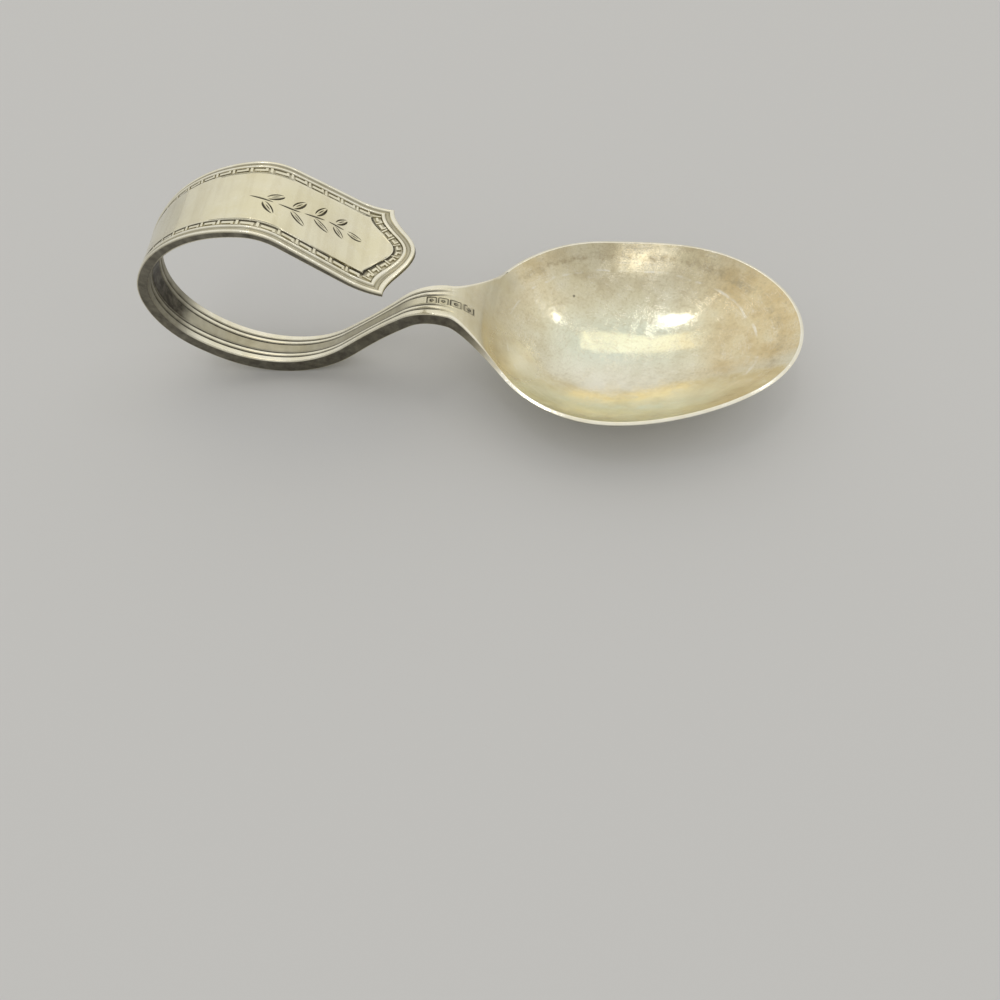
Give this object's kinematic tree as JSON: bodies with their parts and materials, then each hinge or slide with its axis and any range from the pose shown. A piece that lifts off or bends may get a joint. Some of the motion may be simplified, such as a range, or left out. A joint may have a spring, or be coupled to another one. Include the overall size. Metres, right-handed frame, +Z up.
{
  "type": "baby spoon",
  "caption": "Silver baby spoon: egg-shaped bowl, flared neck and a tapered handle bent back into a finger loop that ends in a shield with a moulded, fretted border.",
  "frame": {"origin": "middle of the small flat under the bowl, at the bowl's widest place, on the table", "axes": "+X along the spoon towards the tip of the bowl, +Y across it, +Z up out of the bowl"},
  "size_m": [0.0856, 0.032, 0.0285],
  "materials": {
    "silver": "aged sterling silver, satin with fine scratches and dark toning in the recesses"
  },
  "bodies": {
    "root": {"bowl": "silver", "neck": "silver", "shank": "silver", "loop": "silver", "shield": "silver", "near_rail": "silver", "far_rail": "silver", "point_rail": "silver", "near_fret": "silver", "far_fret": "silver", "point_fret": "silver"}
  },
  "joints": []
}
